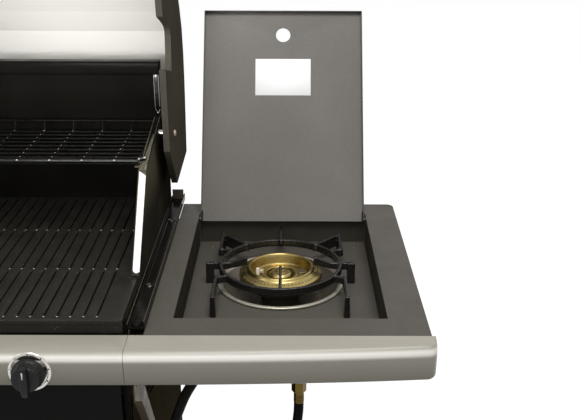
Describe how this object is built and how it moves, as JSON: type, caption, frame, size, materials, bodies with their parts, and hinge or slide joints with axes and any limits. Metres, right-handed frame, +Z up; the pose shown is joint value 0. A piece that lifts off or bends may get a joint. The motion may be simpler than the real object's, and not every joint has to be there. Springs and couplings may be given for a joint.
{
  "type": "gas barbecue",
  "caption": "Hooded gas barbecue on a cabinet trolley with a slotted grill plate, hotplate, warming rack, side shelves and a wok burner under a folding lid.",
  "frame": {"origin": "middle of the box of the whole barbecue without its hose, on the ground", "axes": "+X to the right seen from the front, +Y from the knobs to the back, +Z up"},
  "size_m": [1.534, 0.7162, 1.4543],
  "materials": {
    "cabinet_enamel": "glossy black enamel",
    "cabinet_coat": "satin black powder coat",
    "door_enamel": "glossy black enamel",
    "plated_steel": "plain plated steel",
    "fire_coat": "dull heat-proof coat",
    "panel_enamel": "glossy black enamel",
    "plate_iron": "matt black enamelled iron",
    "trivet_iron": "satin black cast iron",
    "strip_silver": "satin silver",
    "shelf_coat": "textured grey powder coat",
    "lid_coat": "textured grey powder coat",
    "hood_coat": "satin black enamel",
    "cap_casting": "cast aluminium, painted satin black",
    "bright_steel": "brushed stainless steel",
    "burner_steel": "stainless steel",
    "brass": "machined brass",
    "knob_plastic": "matt black plastic",
    "wheel_plastic": "matt black plastic",
    "hose_rubber": "satin black rubber"
  },
  "bodies": {
    "trolley": {"cabinet_side_right": "cabinet_enamel", "cabinet_side_left": "cabinet_enamel", "cabinet_floor": "cabinet_coat", "back_panel": "cabinet_coat", "front_rail": "cabinet_coat", "leg_front": "cabinet_coat", "leg_rear": "cabinet_coat", "wheel_axle": "plated_steel", "shelf_bracket_right": "plated_steel", "shelf_bracket_left": "plated_steel", "firebox": "fire_coat", "end_panel_right": "panel_enamel", "end_panel_left": "panel_enamel", "back_wall": "panel_enamel", "warming_rack": "panel_enamel", "side_rail_right": "panel_enamel", "side_rail_left": "panel_enamel", "grill_plate": "plate_iron", "hotplate": "plate_iron", "trivet": "trivet_iron", "wok_burner_base": "trivet_iron", "fascia_right": "strip_silver", "fascia_left": "strip_silver", "control_panel": "strip_silver", "shelf_right": "shelf_coat", "shelf_left": "shelf_coat", "burner_bowl": "burner_steel", "burner_left": "burner_steel", "burner_middle": "burner_steel", "burner_right": "burner_steel", "gas_manifold": "brass", "gas_fitting": "brass", "wok_burner_ring": "brass", "wok_burner_hub": "brass", "hood_pivot_bolt_right": "brass", "hood_pivot_bolt_left": "brass", "gas_hose": "hose_rubber"},
    "hood": {"hood_outer_skin": "hood_coat", "hood_inner_skin": "bright_steel", "hood_handle": "bright_steel", "thermometer": "bright_steel", "hood_cap_right": "cap_casting", "hood_cap_left": "cap_casting"},
    "side_lid": {"side_lid": "lid_coat"},
    "door_right": {"door_right": "door_enamel", "door_handle_right": "bright_steel"},
    "door_left": {"door_left": "door_enamel", "door_handle_left": "bright_steel"},
    "drip_tray": {"drip_tray": "plated_steel"},
    "wheel_front": {"wheel_front": "wheel_plastic"},
    "wheel_rear": {"wheel_rear": "wheel_plastic"},
    "valve_stem_1": {"valve_stem_1": "brass"},
    "knob_1": {"knob_1": "knob_plastic"},
    "valve_stem_2": {"valve_stem_2": "brass"},
    "knob_2": {"knob_2": "knob_plastic"},
    "valve_stem_3": {"valve_stem_3": "brass"},
    "knob_3": {"knob_3": "knob_plastic"},
    "valve_stem_4": {"valve_stem_4": "brass"},
    "knob_4": {"knob_4": "knob_plastic"}
  },
  "joints": [
    {"name": "hood_hinge", "type": "hinge", "parent": "trolley", "child": "hood", "pos_m": [0, 0.1132, 1.0345], "axis": [1, 0, 0], "range_deg": [0, 75]},
    {"name": "side_lid_hinge", "type": "hinge", "parent": "trolley", "child": "side_lid", "pos_m": [0.561, 0.1591, 0.8638], "axis": [1, 0, 0], "range_deg": [0, 120]},
    {"name": "door_right_hinge", "type": "hinge", "parent": "trolley", "child": "door_right", "pos_m": [0.339, -0.2828, 0.47], "axis": [0, 0, 1], "range_deg": [0, 110]},
    {"name": "door_left_hinge", "type": "hinge", "parent": "trolley", "child": "door_left", "pos_m": [-0.339, -0.2828, 0.47], "axis": [0, 0, -1], "range_deg": [0, 110]},
    {"name": "drip_tray_slide", "type": "slide", "parent": "trolley", "child": "drip_tray", "axis": [0, 1, 0], "range_m": [0, 0.3]},
    {"name": "wheel_front_spin", "type": "hinge", "parent": "trolley", "child": "wheel_front", "pos_m": [-0.3, -0.2248, 0.05], "axis": [0, 1, 0], "continuous": true},
    {"name": "wheel_rear_spin", "type": "hinge", "parent": "trolley", "child": "wheel_rear", "pos_m": [-0.3, 0.1642, 0.05], "axis": [0, 1, 0], "continuous": true},
    {"name": "valve_push_1", "type": "slide", "parent": "trolley", "child": "valve_stem_1", "axis": [0, 1, 0], "range_m": [0, 0.003], "stiffness_N_per_m": 1200},
    {"name": "knob_turn_1", "type": "hinge", "parent": "valve_stem_1", "child": "knob_1", "pos_m": [-0.24, -0.32608, 0.843], "axis": [0, -1, 0], "range_deg": [0, 240]},
    {"name": "valve_push_2", "type": "slide", "parent": "trolley", "child": "valve_stem_2", "axis": [0, 1, 0], "range_m": [0, 0.003], "stiffness_N_per_m": 1200},
    {"name": "knob_turn_2", "type": "hinge", "parent": "valve_stem_2", "child": "knob_2", "pos_m": [-0.08, -0.32608, 0.843], "axis": [0, -1, 0], "range_deg": [0, 240]},
    {"name": "valve_push_3", "type": "slide", "parent": "trolley", "child": "valve_stem_3", "axis": [0, 1, 0], "range_m": [0, 0.003], "stiffness_N_per_m": 1200},
    {"name": "knob_turn_3", "type": "hinge", "parent": "valve_stem_3", "child": "knob_3", "pos_m": [0.08, -0.32608, 0.843], "axis": [0, -1, 0], "range_deg": [0, 240]},
    {"name": "valve_push_4", "type": "slide", "parent": "trolley", "child": "valve_stem_4", "axis": [0, 1, 0], "range_m": [0, 0.003], "stiffness_N_per_m": 1200},
    {"name": "knob_turn_4", "type": "hinge", "parent": "valve_stem_4", "child": "knob_4", "pos_m": [0.24, -0.32608, 0.843], "axis": [0, -1, 0], "range_deg": [0, 240]}
  ]
}
